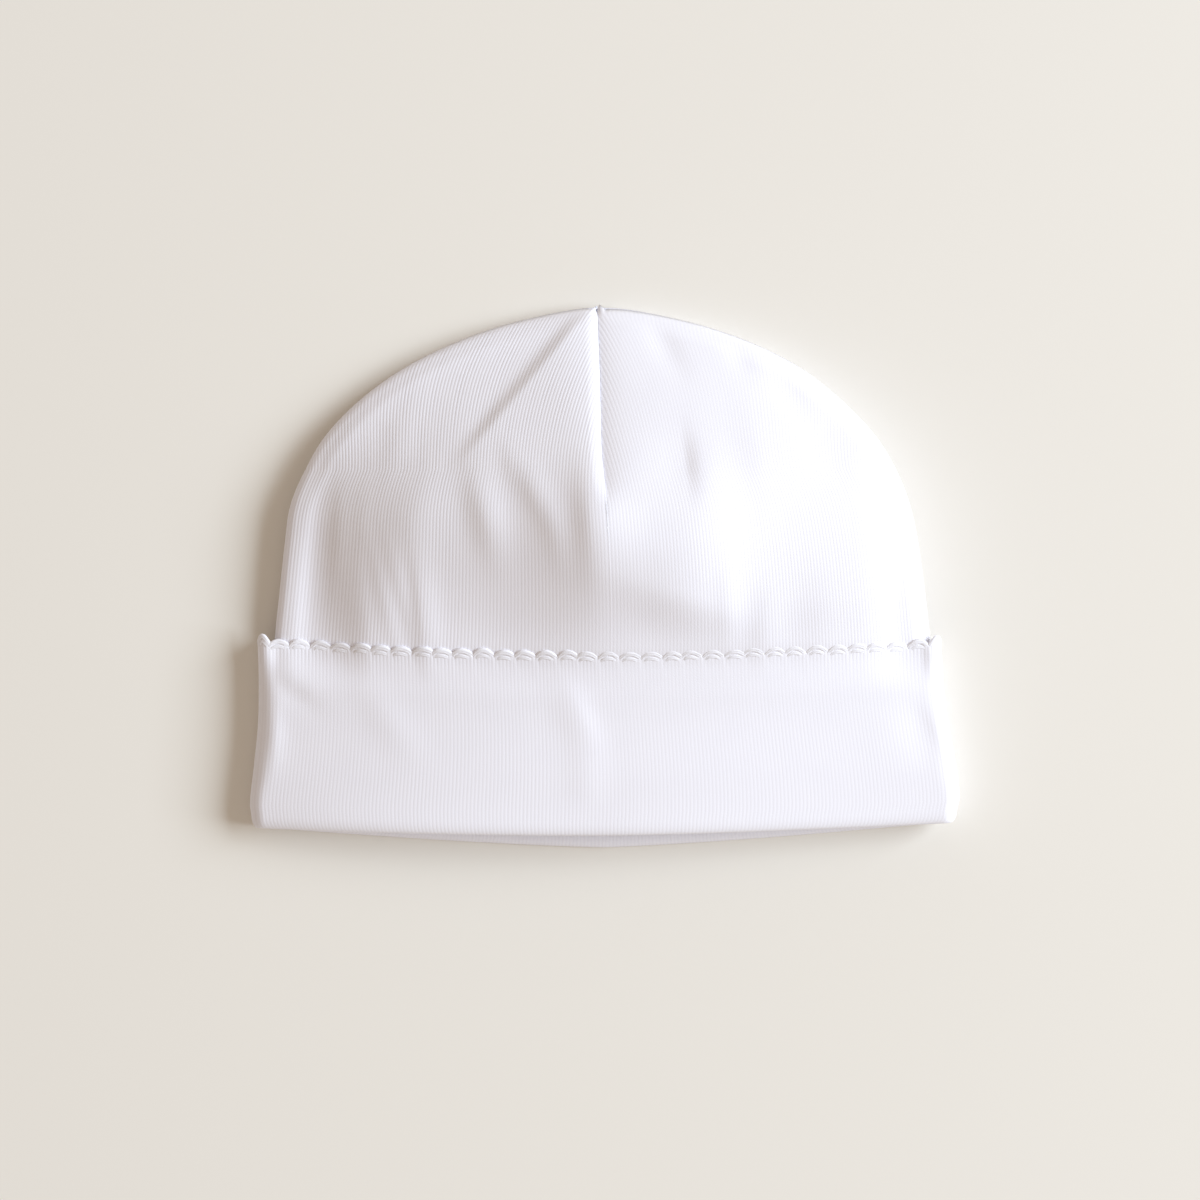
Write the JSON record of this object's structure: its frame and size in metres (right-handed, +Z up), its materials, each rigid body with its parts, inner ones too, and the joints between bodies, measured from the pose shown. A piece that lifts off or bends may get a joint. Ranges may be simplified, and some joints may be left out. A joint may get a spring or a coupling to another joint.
{
  "type": "baby beanie",
  "caption": "Newborn's fine-rib cotton beanie with a darted crown, a turned-up cuff and a picot edge, lying flat on its back.",
  "frame": {"origin": "middle of the footprint of the beanie as it lies on its back, on the surface that it rests on", "axes": "+X to the right across the beanie, +Y from the open mouth to the crown's point, +Z up through the front wall"},
  "size_m": [0.1596, 0.1223, 0.0249],
  "materials": {
    "rib_knit": "matt white 1x1 rib-knit cotton",
    "picot_thread": "soft white twisted cotton thread"
  },
  "bodies": {
    "root": {"crown": "rib_knit", "cuff": "rib_knit", "picot_edge": "picot_thread"}
  },
  "joints": []
}
